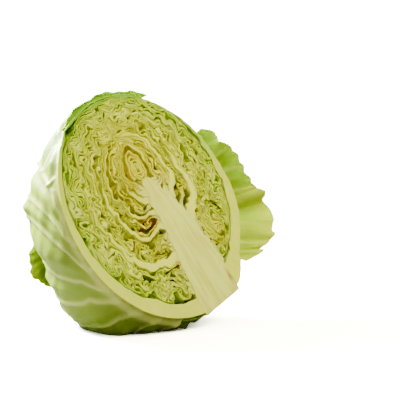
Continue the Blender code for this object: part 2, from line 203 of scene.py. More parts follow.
def settle(points):
    """Head frame to the table: turn, let the underside settle flat, spread the lower back."""
    normal, lateral, stalk = face_axes()
    middle = OUTER_SHIFT * lateral + HEAD_MIDDLE * stalk
    rows = np.stack([lateral / HALF_WIDTH, normal / HEAD_DEPTH, stalk / HALF_HEIGHT])
    x, y, z = points[..., 0], points[..., 1], points[..., 2]
    world = x[..., None] * lateral - y[..., None] * normal + z[..., None] * stalk
    flat = world.reshape(-1, 3)
    depth = y.reshape(-1)
    under = lowest_surface(flat[:, :2], middle, rows)
    height = under + STALK_HEIGHT
    sink = np.where(height < FLAT_REACH, height,
                    FLAT_REACH * (1.0 - smoothstep((height - FLAT_REACH) / FLAT_BLEND)))
    share = np.clip(1.0 - (flat[:, 2] - under) / SINK_HEIGHT, 0.0, 1.0)
    wide, deep = STALK_STIFF
    stiff = deep * np.sqrt(np.maximum(1.0 - (x.reshape(-1) / wide) ** 2, 0.0))
    flat[:, 2] += STALK_HEIGHT - sink * share * smoothstep((depth - stiff) / SINK_DEPTH)
    away = -normal[:2] / np.hypot(normal[0], normal[1])
    spread = SAG * smoothstep(depth / SAG_DEPTH) * smoothstep((SAG_HEIGHT - flat[:, 2]) / SAG_HEIGHT)
    flat[:, :2] += spread[:, None] * away
    return flat.reshape(points.shape)


def core_shape(height):
    """Middle and radius of the stalk at a height."""
    heights, left, right = np.array(CORE_EDGES).T
    lo, hi = 0.0, 0.0
    for offset in (-5.0, -2.5, 0.0, 2.5, 5.0):
        lo = lo + np.interp(height + offset, heights, left) / 5.0
        hi = hi + np.interp(height + offset, heights, right) / 5.0
    return (lo + hi) / 2, (hi - lo) / 2


def from_stalk(x, depth, z):
    """Distance outward from the skin of the stalk."""
    middle, radius = core_shape(np.clip(z, 0.0, STALK_TIP))
    beyond = np.maximum(z - STALK_TIP, 0.0)
    return np.sqrt((x - middle) ** 2 + depth ** 2 + beyond ** 2) - radius


def frame_shift():
    """How far the solids were moved to stand over the origin, read off the stalk's box."""
    rows = []
    turn = np.linspace(0.0, np.pi, 13)
    for height, left, right in CORE_EDGES:
        middle, radius = (left + right) / 2, (right - left) / 2
        rows.append(np.stack([middle + radius * np.cos(turn), radius * np.sin(turn),
                              np.full_like(turn, height)], axis=-1))
    own = settle(np.array(rows)).reshape(-1, 3)
    low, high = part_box("core")
    return (own.min(axis=0) + own.max(axis=0)) / 2 - (np.array(low) + np.array(high)) / 2 / MM


SHIFT = frame_shift()


def to_row(points):
    """Head-frame millimetres to metres in the row's frame, nothing under the table."""
    out = settle(points) - SHIFT
    out[..., 2] = np.maximum(out[..., 2], LOWEST)
    return out * MM


# ---------------------------------------------------------------- where every leaf runs

def rib_thickness(index, around, back):
    """Extra thickness of a leaf along its cut midrib."""
    if index not in RIBS:
        return 0.0 * around
    thickness, length = RIBS[index]
    thickness *= RIB_FULLNESS[index]
    run = around if LEAF_KINDS[index] == "A" else 1.0 - around
    thickness = thickness * (1.0 + 0.16 * value_noise(run * 26.0 + index, 0.0 * run, 300 + index))
    fade = np.exp(-(back * np.pi / 2 / RIB_WIDTH) ** 2)
    return thickness * np.clip(1.0 - run / length, 0.0, 1.0) ** 0.8 * fade


def room_at(around, back):
    """Distance from the rim to the heart bud's space."""
    return np.linalg.norm(shell_point(0.0, around, back) - shell_point(1.0, around, back), axis=-1)


def plain_stack(around, back):
    """Distance from the rim of both faces of every leaf, before openings and waves."""
    room = room_at(around, back)
    blade = np.minimum(BLADE, BLADE_SHARE * room / COUNT)
    ribs = np.array([rib_thickness(index, around, back) for index in range(COUNT)])
    thick = ribs + blade * (1.0 + vein_swelling(around, back))
    thick = thick * np.minimum(1.0, MOST_FILLED * room / thick.sum(axis=0))
    air = room - thick.sum(axis=0)
    power = 1.0 + CROWDING * np.exp(-((around - CROWDING_AT) / CROWDING_WIDTH) ** 2)
    order = np.arange(COUNT + 1).reshape((COUNT + 1,) + (1,) * np.ndim(around)) / COUNT
    uneven = np.diff(order ** power, axis=0) * np.exp(bunching(around, back))
    uneven = np.cumsum(uneven, axis=0) / uneven.sum(axis=0)
    outer = np.cumsum(thick, axis=0) - thick
    outer[1:] += air * uneven[:-1]
    return outer, outer + thick, ribs, room


def vein_swelling(around, back):
    """Where the knife meets a side vein the blade is up to a few times thicker."""
    swell = np.zeros((COUNT,) + np.shape(around))
    for index in range(1, COUNT):
        turns = round(2 * np.pi * leaf_radius(index) / SIDE_VEIN_EVERY)
        met = value_noise(around * turns + 3.0 * back, 5.0 * back + 7.0 * index, 700 + index)
        swell[index] = SWELLING * smoothstep((met - 0.30) / 0.45)
    return swell


def bunching(around, back):
    """Uneven air between leaves, so some lie packed together and others stand open."""
    rng = np.random.default_rng(77)
    total = np.zeros((COUNT,) + np.shape(around))
    for index in range(COUNT):
        for length in BUNCH_LENGTHS:
            turns = max(1, round(2 * np.pi * leaf_radius(index) / length))
            phase, slope = rng.uniform(0.0, 2 * np.pi), rng.normal(0.0, 2.0)
            total[index] += np.sin(2 * np.pi * turns * around + slope * back + phase)
    return BUNCHING * total


def find_openings():
    """Which gap each opening lies in, and where round the outline."""
    around = np.linspace(0.0, 1.0, 721)
    level = np.linspace(0.0, 1.0, 101)[:, None]
    grid = shell_point(level, around[None], 0.0)
    found = []
    for x, z, width, opening, depth in HOLES:
        miss = (grid[..., 0] - x) ** 2 + (grid[..., 2] - z) ** 2
        row, column = np.unravel_index(np.argmin(miss), miss.shape)
        place = around[column]
        outer, inner, _, room = plain_stack(np.array([place]), np.array([0.0]))
        middle = (outer[1:, 0] + inner[:-1, 0]) / 2
        gap = int(np.argmin(np.abs(middle - level[row, 0] * room[0])))
        turn = width / (2 * np.pi * np.hypot(x - OUTER_SHIFT, z - HEAD_MIDDLE) + 30.0)
        found.append((gap, place, turn, opening, depth))
    return found


def scattered_openings():
    """Small openings wherever blades happen to part."""
    rng = np.random.default_rng(SMALL_SEED)
    found = []
    for _ in range(SMALL_HOLES):
        gap = int(rng.integers(1, COUNT - 4))
        turn = rng.uniform(2.0, 4.5) / (2 * np.pi * leaf_radius(gap))
        place, opening, depth = rng.uniform(0.02, 0.98), rng.uniform(1.4, 3.4), rng.uniform(5.0, 10.0)
        found.append((gap, place, turn, opening, depth))
    return found


OPENINGS = find_openings() + scattered_openings()


def open_stack(index, around, back):
    """Faces of one leaf and of its neighbours, giving way to both sides of each opening."""
    outer, inner, ribs, room = plain_stack(around, back)
    depth_mm = depth_of(back)
    above = inner[index - 1] if index else outer[0]
    below = outer[index + 1] if index + 1 < COUNT else room
    faces = np.stack([above, outer[index], inner[index], below])
    moved = faces.copy()
    for gap, place, turn, opening, depth in OPENINGS:
        away = np.abs((around - place + 0.5) % 1.0 - 0.5)
        window = np.exp(-(away / turn) ** 2 - (depth_mm / depth) ** 2)
        if window.max() < 0.01 or abs(gap - index) > 9:
            continue
        side = faces - (outer[gap + 1] + inner[gap]) / 2
        moved += np.sign(side) * opening / 2 * window * np.exp(-np.abs(side) / (3.0 + opening))
    moved = np.maximum.accumulate(moved, axis=0)
    return moved, ribs, room


# ---------------------------------------------------------------- crumpling

def rib_lines():
    """Along every cut midrib: points and half thickness."""
    lines = []
    for index in RIBS:
        run = np.linspace(0.0, RIBS[index][1], 40)
        around = run if LEAF_KINDS[index] == "A" else 1.0 - run
        outer, inner, ribs, room = plain_stack(around, np.zeros_like(around))
        line = shell_point((outer[index] + inner[index]) / 2 / room, around, 0.0)
        lines.append(np.stack([line[:, 0], line[:, 2], (inner[index] - outer[index]) / 2], axis=-1))
    return lines


def calm_near_ribs(x, z):
    """0 inside the midribs, 1 a few millimetres away from them."""
    nearest = np.full_like(x, 99.0)
    for line in rib_lines():
        for (x0, z0, r0), (x1, z1, r1) in zip(line[:-1], line[1:]):
            dx, dz = x1 - x0, z1 - z0
            t = np.clip(((x - x0) * dx + (z - z0) * dz) / (dx * dx + dz * dz + 1e-9), 0.0, 1.0)
            away = np.hypot(x - x0 - t * dx, z - z0 - t * dz) - (r0 + t * (r1 - r0))
            nearest = np.minimum(nearest, away)
    return smoothstep((nearest + 0.5) / 7.0)


def fold_waves(rng):
    """Random waves of every fold size: numbers along x, z and depth, phase and height."""
    waves = []
    for size, push, count in FOLDS:
        turn = rng.uniform(0.0, 2 * np.pi, count)
        k = 2 * np.pi / (size * rng.uniform(0.8, 1.25, count))
        ky = rng.normal(0.0, 2 * np.pi / FOLD_DEPTH * 0.6, count)
        phase = rng.uniform(0.0, 2 * np.pi, count)
        waves.append((k * np.cos(turn), k * np.sin(turn), ky, phase, push * np.sqrt(2.0 / count) / k))
    return [np.concatenate(part) for part in zip(*waves)]


def build_flow():
    """In-plane push at every grid point, made without squeezing so leaves never cross."""
    x, z = np.arange(*FLOW_ACROSS, FLOW_STEP), np.arange(*FLOW_UP, FLOW_STEP)
    y = np.arange(*FLOW_BEHIND, FLOW_LAYER)
    gx, gz = np.meshgrid(x, z, indexing="ij")
    calm = calm_near_ribs(gx, gz)
    neat = 1.0 - NEAT_TOP * smoothstep((gz - 105.0) / 35.0)
    heart_x, heart_z, heart_reach = HEART_PLACE
    neat = neat * (1.0 - NEAT_HEART * bump(gx, heart_x, heart_reach) * bump(gz, heart_z, heart_reach))
    kx, kz, ky, phase, height = fold_waves(np.random.default_rng(11))
    curl_x, curl_z, curl_radius, curl_strength = CURL
    curl = bump(gx, curl_x, curl_radius) * bump(gz, curl_z, curl_radius)
    curl = curl * curl_strength * curl_radius * 0.5
    flow = np.zeros((len(y), len(x), len(z), 2), np.float32)
    for layer, depth in enumerate(y):
        psi = np.zeros_like(gx)
        for a, b, c, d, e in zip(kx, kz, ky, phase, height):
            psi += e * np.sin(a * gx + b * gz + c * depth + d)
        rho = np.sqrt(((gx - OUTER_SHIFT) / HALF_WIDTH) ** 2 + ((gz - HEAD_MIDDLE) / HALF_HEIGHT) ** 2
                      + (depth / HEAD_DEPTH) ** 2)
        mask = smoothstep((1.0 - rho) / 0.11) * smoothstep((from_stalk(gx, depth, gz) - 1.0) / 9.0) * neat
        mask = mask * (1.0 - (1.0 - calm) * bump(depth, 0.0, 18.0))
        psi = (psi + curl * bump(depth, 0.0, 30.0)) * mask
        flow[layer, ..., 0] = np.gradient(psi, FLOW_STEP, axis=1)
        flow[layer, ..., 1] = -np.gradient(psi, FLOW_STEP, axis=0)
    return flow, x[0], z[0]


FLOW, FLOW_X, FLOW_Z = build_flow()


def push_at(x, depth, z):
    """The flow at any point, blended from the grid."""
    layers, columns, rows = FLOW.shape[:3]
    fy = np.clip(depth / FLOW_LAYER, 0.0, layers - 1.001)
    fx = np.clip((x - FLOW_X) / FLOW_STEP, 0.0, columns - 1.001)
    fz = np.clip((z - FLOW_Z) / FLOW_STEP, 0.0, rows - 1.001)
    iy, ix, iz = fy.astype(int), fx.astype(int), fz.astype(int)
    wy, wx, wz = (fy - iy)[..., None], (fx - ix)[..., None], (fz - iz)[..., None]
    total = 0.0
    for a, ya in ((0, 1.0 - wy), (1, wy)):
        for b, xb in ((0, 1.0 - wx), (1, wx)):
            for c, zc in ((0, 1.0 - wz), (1, wz)):
                total = total + FLOW[iy + a, ix + b, iz + c] * (ya * xb * zc)
    return total


def crumple(points):
    """Carry points along the flow, each at its own depth."""
    x, depth, z = points[..., 0].copy(), points[..., 1], points[..., 2].copy()
    for _ in range(FLOW_STEPS):
        first = push_at(x, depth, z) / FLOW_STEPS
        second = push_at(x + first[..., 0] / 2, depth, z + first[..., 1] / 2) / FLOW_STEPS
        x += second[..., 0]
        z += second[..., 1]
    return np.stack([x, depth, z], axis=-1)


# ---------------------------------------------------------------- meshes

def make_piece(name, slot, verts, faces, marks, sharp=None):
    mesh = bpy.data.meshes.new(name)
    mesh.from_pydata(verts.tolist(), [], faces)
    mesh.polygons.foreach_set("use_smooth", np.ones(len(mesh.polygons), bool))
    for mark, values in marks.items():
        layer = mesh.attributes.new(mark, "FLOAT", "POINT")
        layer.data.foreach_set("value", values.astype(np.float32))
    if sharp is not None:
        ends = np.zeros(len(mesh.edges) * 2, int)
        mesh.edges.foreach_get("vertices", ends)
        hard = sharp[ends.reshape(-1, 2)].all(axis=1)
        layer = mesh.attributes.new("sharp_edge", "BOOLEAN", "EDGE")
        layer.data.foreach_set("value", hard)
    mesh.update()
    piece = bpy.data.objects.new(name + "_leafwork", mesh)
    bpy.context.scene.collection.objects.link(piece)
    mesh.materials.append(FINISHES[slot])
    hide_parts(name)
    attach(piece, "root")
    return piece


def shell_faces(columns, rows):
    """Closed half shell: two layers of rows and a pole each, joined along the first row."""
    layer = columns * rows + 1
    i = np.arange(columns)
    j = (i + 1) % columns
    faces = []
    for r in range(rows - 1):
        a, b = r * columns + i, r * columns + j
        quads = np.stack([a, b, b + columns, a + columns], axis=1)
        faces.append(quads)
        faces.append(quads[:, ::-1] + layer)
    faces.append(np.stack([j, i, i + layer, j + layer], axis=1))
    quads = np.concatenate(faces).tolist()
    last, pole = (rows - 1) * columns, columns * rows
    fans = np.stack([last + i, last + j, np.full(columns, pole)], axis=1)
    return quads + fans.tolist() + (fans[:, ::-1] + layer).tolist()


def margin_start(index, around):
    """Where a leaf begins behind the cut: midrib leaves leave the other side open."""
    kind = LEAF_KINDS[index]
    if kind == "c":
        return np.zeros_like(around)
    run = around if kind == "A" else 1.0 - around
    return 0.5 * smoothstep((run - 0.56) / 0.12)


def leaf_waves(index, around, depth, radius):
    """Each leaf's own gentle waviness, from -1 to 1."""
    rng = np.random.default_rng(100 + index)
    total = 0.0
    for length in (40.0, 24.0, 15.0, 9.0):
        count = max(2, round(2 * np.pi * radius / length))
        phase, slope = rng.uniform(0.0, 2 * np.pi), rng.normal(0.0, 0.3)
        total = total + np.sin(2 * np.pi * count * around + slope * depth + phase)
    return total / 3.0


def leaf_rows():
    """Rows from the cut to the pole, dense near the knife."""
    near = np.arcsin(np.array(ROWS_AT_CUT) / HEAD_DEPTH) / (np.pi / 2)
    behind = np.linspace(near[-1], 1.0, ROWS_BEHIND + 2)[1:-1]
    return np.concatenate([near, behind])


def near_spots(points, spots):
    """1 inside any of a few oval places of the cut face, 0 away from them."""
    total = 0.0
    for x, z, wide, high in spots:
        away = ((points[..., 0] - x) / wide) ** 2 + ((points[..., 2] - z) / high) ** 2
        total = total + np.exp(-away ** 2)
    return np.clip(total, 0.0, 1.0)


def rust_mark(points):
    """The walls of a few openings near the stalk have dried brown."""
    depth = points[..., 1]
    inside = 0.3 + 0.7 * smoothstep((depth - 0.2) / 1.2)
    return near_spots(points, RUST) * inside * (1.0 - smoothstep((depth - 10.0) / 10.0))


def leaf_surfaces(index, around, back, row, start):
    """Distance from the rim of both faces of a leaf, and what its finish needs to know."""
    (over, outer, inner, under), ribs, room = open_stack(index, around, back)
    above, below = outer - over, under - inner
    level = (outer + inner) / 2 / room
    swing = np.minimum(WAVE_SHARE * np.minimum(above, below), WAVE_MOST)
    middle = shell_point(level, around, back)
    reach = FUSE + FUSE_AT_TIP * smoothstep((middle[..., 2] - 60.0) / 45.0)
    fused = 1.0 - smoothstep(from_stalk(middle[..., 0], middle[..., 1], middle[..., 2]) / reach)
    wave = leaf_waves(index, around, depth_of(back), leaf_radius(index)) * swing * (1.0 - fused)
    out_mm = outer + wave - MEETING * fused * above
    in_mm = inner + wave + MEETING * fused * below
    free = smoothstep(start / 0.1) * (1.0 - smoothstep(row / 0.25))
    thinned = MARGIN_THINNING * free * (in_mm - out_mm)
    return (out_mm + thinned, in_mm - thinned), level, fused, ribs[index], room


def raise_relief(points, raised):
    """Lift a leaf's outer face straight out of the head."""
    centre = np.array([OUTER_SHIFT, 0.0, HEAD_MIDDLE])
    outward = (points - centre) / np.array([HALF_WIDTH, HEAD_DEPTH, HALF_HEIGHT]) ** 2
    outward /= np.linalg.norm(outward, axis=-1, keepdims=True) + 1e-9
    outward[0, :, 1] = 0.0
    return points + outward * raised[..., None]


def set_knife_edge(index, faces, rib, start):
    """Thin blades give way under the knife, so their edges end a little behind its plane."""
    columns = len(rib)
    count = columns // 5 + 2
    rng = np.random.default_rng(500 + index)
    wander = np.interp(np.arange(columns), np.linspace(0, columns, count), rng.uniform(0.0, 1.0, count))
    behind = KNIFE_WANDER * wander * (1.0 - smoothstep(rib / 3.0)) * (start < 1e-6)
    for points in faces:
        points[0, :, 1] += behind
        points[1, :, 1] += behind * 0.6


def rib_mark(index, around, back, level, rib):
    """Where a leaf is pale midrib or side vein."""
    depth = depth_of(back)
    if index < 2:
        return 0.75 * np.clip(rib / 13.0, 0.0, 1.0) * (1.0 - 0.75 * smoothstep((depth - 2.0) / 8.0))
    swollen = vein_swelling(around, back)[index] / SWELLING * (1.0 - smoothstep(depth / 14.0))
    paleness = 0.55 - 0.4 * smoothstep((level - 0.45) / 0.25)
    return np.maximum(np.clip(rib / 5.0, 0.0, 1.0), paleness * swollen)


def green_mark(index, around, back, level):
    """Where daylight has reached: the rim, the top and the outer leaves of the left side."""
    if index < 2:
        top = 0.7 * (1.0 - smoothstep((np.abs(around - 0.52) - 0.11) / 0.08))
        top = top * (1.0 - smoothstep((back - 0.1) / 0.3)) * (index == 0)
        edge = 0.95 * (1.0 - smoothstep((np.abs(around - 0.55) - 0.15) / 0.06))
        return np.maximum(top, edge * (1.0 - smoothstep(depth_of(back) / 3.0)))
    place, reach = GREEN_SIDE
    left = (1.0 - smoothstep(level / 0.34)) * (1.0 - smoothstep((np.abs(around - place) - reach) / 0.12))
    everywhere = 0.45 * (1.0 - smoothstep((level - 0.10) / 0.16))
    return np.maximum(left, everywhere) * (0.65 + 0.35 * value_noise(around * 40.0, level * 12.0, 91))


def leaf_marks(index, around, back, level, fused, rib):
    """Everything the finish of a leaf is told about it, on its grid of points."""
    depth = depth_of(back)
    green = green_mark(index, around, back, level)
    return {"rib": rib_mark(index, around, back, level, rib), "green": green, "level": level,
            "near": fused * (index > 1), "cut": (1.0 - smoothstep(depth / 1.6)) * (1.0 - 0.7 * green)}


def to_layer(field):
    """A grid that ends in a pole, as one layer of a shell."""
    return np.concatenate([field[:-1].reshape((-1,) + field.shape[2:]), field[-1, :1]])


def build_leaf(index, columns, rows, slot, relief=None):
    """One leaf of the head; only the two outermost have a relief."""
    around, row = np.meshgrid(np.arange(columns) / columns, np.append(rows, 1.0))
    start = margin_start(index, around)
    back = start + (1.0 - start) * row
    both, level, fused, rib, room = leaf_surfaces(index, around, back, row, start)
    faces = [crumple(shell_point(mm / room, around, back)) for mm in both]
    if relief:
        faces[0] = raise_relief(faces[0], relief(around, back))
    set_knife_edge(index, faces, rib[0], start[0])
    marks = leaf_marks(index, around, back, level, fused, rib)
    if relief:
        marks["vein"] = vein_mark(around if index == 0 else 1.0 - around, back)
    else:
        mottled = 0.75 + 0.25 * value_noise(around * 60.0, depth_of(back), 92)
        marks["sheltered"] = near_spots(faces[0], SHELTERED) * mottled
        marks["rust"] = rust_mark(faces[0])
    verts = to_row(np.concatenate([to_layer(points) for points in faces]))
    marks = {mark: np.tile(to_layer(values), 2) for mark, values in marks.items()}
    keen = np.zeros((2, len(verts) // 2), bool)
    keen[:, :columns] = (both[1] - both[0])[0] > KEEN_EDGE
    faces = shell_faces(columns, len(rows))
    return make_piece(f"leaf_{index:02d}", slot, verts, faces, marks, keen.ravel())


# ---------------------------------------------------------------- veins of the outer leaf

# veins as places round the outline, from the stalk on, and back from the rim
MAIN_VEIN = ((0.02, 0.035), (0.095, 0.032), (0.156, 0.027), (0.215, 0.022), (0.286, 0.018), (0.309, 0.020),
             (0.333, 0.040), (0.363, 0.12), (0.40, 0.24), (0.44, 0.40), (0.47, 0.55))
SIDE_VEINS = (((0.262, 0.016), (0.292, 0.066), (0.325, 0.17), (0.362, 0.33), (0.40, 0.52), (0.43, 0.72)),
              ((0.224, 0.016), (0.258, 0.076), (0.291, 0.19), (0.33, 0.36), (0.365, 0.55), (0.39, 0.76)),
              ((0.194, 0.022), (0.220, 0.096), (0.237, 0.264), (0.262, 0.48), (0.29, 0.72)),
              ((0.173, 0.026), (0.200, 0.112), (0.205, 0.30), (0.212, 0.50), (0.22, 0.72)),
              ((0.138, 0.018), (0.158, 0.070), (0.168, 0.148), (0.172, 0.35), (0.160, 0.62)),
              ((0.105, 0.018), (0.122, 0.070), (0.128, 0.16), (0.125, 0.40), (0.105, 0.64)),
              ((0.070, 0.022), (0.085, 0.080), (0.088, 0.20), (0.080, 0.45)),
              ((0.345, 0.070), (0.352, 0.018)), ((0.375, 0.15), (0.400, 0.045)),
              ((0.41, 0.28), (0.45, 0.11)))
VEIN_POINT = (0.352, 0.40)              # where the outer leaf stands out in a pointed fold
DENT = (0.303, 0.13)                    # and where it is pressed in


def line_distance(around, back, line):
    """Distance in mm to a polyline on the outer leaf, and how far along it the nearest point is."""
    across = 2 * np.pi * HALF_WIDTH * np.cos(back * np.pi / 2)
    deep = HEAD_DEPTH * np.pi / 2
    best, along = np.full_like(around, 99.0), np.zeros_like(around)
    for part, ((u0, v0), (u1, v1)) in enumerate(zip(line[:-1], line[1:])):
        du, dv = (u1 - u0) * across, (v1 - v0) * deep
        pu, pv = (around - u0) * across, (back - v0) * deep
        t = np.clip((pu * du + pv * dv) / (du * du + dv * dv + 1e-9), 0.0, 1.0)
        away = np.hypot(pu - t * du, pv - t * dv)
        nearer = away < best
        best = np.where(nearer, away, best)
        along = np.where(nearer, (part + t) / (len(line) - 1), along)
    return best, along


def vein_fields(around, back):
    """Raised lines of the veins and the nearest distance to any of them."""
    main, along = line_distance(around, back, MAIN_VEIN)
    strong = np.exp(-(main / (2.3 - 0.8 * along)) ** 2) * (1.0 - 0.5 * along)
    side, nearest = np.zeros_like(around), main
    for line in SIDE_VEINS:
        away, along = line_distance(around, back, line)
        side = np.maximum(side, np.exp(-(away / (1.7 - 0.6 * along)) ** 2) * (1.0 - 0.5 * along))
        nearest = np.minimum(nearest, away)
    return strong, side, nearest


def toward_back(back):
    """1 near the rim, fading where the shells close at the back."""
    return 1.0 - smoothstep((back - 0.72) / 0.22)


def vein_mark(around, back):
    """Mark of the pale veins on the outer leaf."""
    strong, side, _ = vein_fields(around, back)
    return np.clip(strong + 0.8 * side, 0.0, 1.0) * toward_back(back)


def wrapper_relief(around, back):
    """Raised veins, soft quilting between them, a pointed fold and a dent."""
    strong, side, nearest = vein_fields(around, back)
    from_rim = smoothstep((back - 0.012) / 0.03)
    quilt = 3.2 * (1.0 - bump(nearest, 0.0, 9.0))
    small = 0.5 + 0.5 * np.sin(61.0 * 2 * around + 17.0 * back) * np.sin(29.0 * back + 40.0 * around)
    frill = 0.5 + 0.5 * np.sin(2 * np.pi * 46 * around + 9.0 * back + 3.0 * np.sin(21.0 * back))
    at_lower_left = bump(around, 0.235, 0.05) * bump(back, 0.50, 0.16)
    point = np.hypot((around - VEIN_POINT[0]) / 0.028, (back - VEIN_POINT[1]) / 0.10)
    dent = np.hypot((around - DENT[0]) / 0.016, (back - DENT[1]) / 0.05)
    on_left = (1.0 - smoothstep((around - 0.50) / 0.1)) * toward_back(back)
    raised = 2.8 * strong + 2.1 * side + 1.15 * quilt + 0.8 * small + 1.6 * at_lower_left * frill
    return from_rim * on_left * (raised - 1.6 * np.exp(-dent ** 2)) + 7.0 * np.exp(-point ** 1.4)


def side_relief(around, back):
    """The right-hand outer leaf carries the same kind of veins, the other way round."""
    strong, side, nearest = vein_fields(1.0 - around, back)
    wave = np.sin(2 * np.pi * 9 * around + 4.0 * back) * np.sin(7.0 * back + 1.0)
    shoulder = 5.5 * bump(around, 0.938, 0.030) * bump(back, 0.0, 0.25)
    quilt = 2.2 * (1.0 - bump(nearest, 0.0, 9.0))
    fade = smoothstep((back - 0.02) / 0.05) * toward_back(back)
    return fade * (1.5 * strong + 1.3 * side + quilt + 0.6 * wave) + shoulder


# ---------------------------------------------------------------- finishes

def linear(hexes):
    """sRGB hex colour to linear RGBA."""
    values = np.array([int(hexes[i:i + 2], 16) for i in (1, 3, 5)]) / 255.0
    out = np.where(values <= 0.04045, values / 12.92, ((values + 0.055) / 1.055) ** 2.4)
    return (*out, 1.0)


def add_node(tree, kind, settings=None, links=None):
    """A node with its settings and the sockets that feed it; stops are hex colours of a ramp."""
    node = tree.nodes.new(kind)
    for key, value in (settings or {}).items():
        if key == "stops":
            while len(node.color_ramp.elements) < len(value):
                node.color_ramp.elements.new(0.5)
            for element, (position, colour) in zip(node.color_ramp.elements, value):
                element.position, element.color = position, linear(colour)
        elif isinstance(key, int) or key in node.inputs:
            node.inputs[key].default_value = value
        else:
            setattr(node, key, value)
    for key, source in (links or {}).items():
        tree.links.new(source, node.inputs[key])
    return node


# Every finish is living leaf tissue, which differs in how much light it grew in and how thick it
# is.  Each has its colour from the outside of the head to the heart (or root to margin), how deep
# light goes before it comes back, how much of it does, and how much the wet skin shines.
TISSUES = {
    # Wrapper leaf, grown in daylight: mid green under a bloom of wax that dulls its shine.
    "wrapper_green": (((0.0, "#84A02A"), (1.0, "#90AA32")), 0.0015, 0.5, 0.25),
    # Leaves cut along a thick midrib: watery flesh, light goes in and the whole rib glows.
    "rib_leaf": (((0.0, "#94BE1E"), (0.15, "#B6CE20"), (0.45, "#D2DC1E"), (0.8, "#D8D60E"),
                  (1.0, "#D6CC08")), 0.005, 0.8, 0.08),
    # Thin inner blades, blanched by the leaves over them: green at the rim, yellow further in.
    "inner_leaf": (((0.0, "#74AA10"), (0.07, "#98C214"), (0.18, "#BAD41C"), (0.35, "#D0DE14"),
                    (0.6, "#D2D208"), (1.0, "#D2C804")), 0.006, 0.8, 0.04),
    # Leaves of the heart, which never saw the light: deep yellow, crisp and hardly shiny.
    "heart_yellow": (((0.0, "#CCCA08"), (1.0, "#D0C404")), 0.003, 0.8, 0.04),
    # Stalk: dense cream flesh, a little wet where the knife went through.
    "core_cream": (((0.0, "#DAD496"), (1.0, "#E0D87A")), 0.004, 0.8, 0.25),
    # Loose leaves in full light: thin and bright green; the darker green where they leave the head is
    # painted shade near the rim.
    "loose_green": (((0.0, "#607604"), (0.5, "#769006"), (1.0, "#84A008")), 0.0018, 0.8, 0.03),
    # The folded loose leaf: paler flesh near its veins and a lighter margin; the darker green at its root
    # is painted shade near the rim.
    "loose_pale": (((0.0, "#8CA414"), (0.35, "#C4CC30"), (0.7, "#A8BC14"), (1.0, "#C0CC28")),
                   0.0022, 0.8, 0.12),
    # Torn stub under the stalk: old, leathery and dark green.
    "stub_dark": (((0.0, "#486218"), (1.0, "#5A761C")), 0.0015, 0.5, 0.25),
}
# What lies over the blade's colour, in this order: where it is marked, how strongly, its colour.
LAYERS = (("green", 0.9, "#66A206"),      # leaf green where daylight has reached
          ("sheltered", 1.0, "#D4CC06"),  # blanched yellow in the pockets between thick ribs
          ("rib", 1.0, "#E2E280"),        # pale flesh of midribs and side veins
          ("vein", 1.0, "#DCE496"),       # raised veins of the outer leaves
          ("near", 1.0, "#DCD892"),       # leaf bases, as cream as the stalk they grow from
          ("cut", 0.36, "#EEEA0E"),       # fresh cut edges of blades
          ("rust", 1.0, "#A84A0E"),       # dried brown walls of old openings
          ("streak", 1.0, "#B4AC48"),     # bundles of fibre along the stalk
          ("bruise", 1.0, "#8C6424"))     # brown bruise of the stalk
SKIN_ROUGHNESS = 0.45
RED_GREEN_BLUE_REACH = (1.0, 1.0, 0.35)  # blue light is taken up by the tissue first
PATCH, SPOT, PORE = 0.0182, 0.00625, 0.00238    # metres across: uneven colour, pale spots, pores
PORE_DEPTH = 0.0005        # the pores are drawn coarser than they grow, so that they show at all


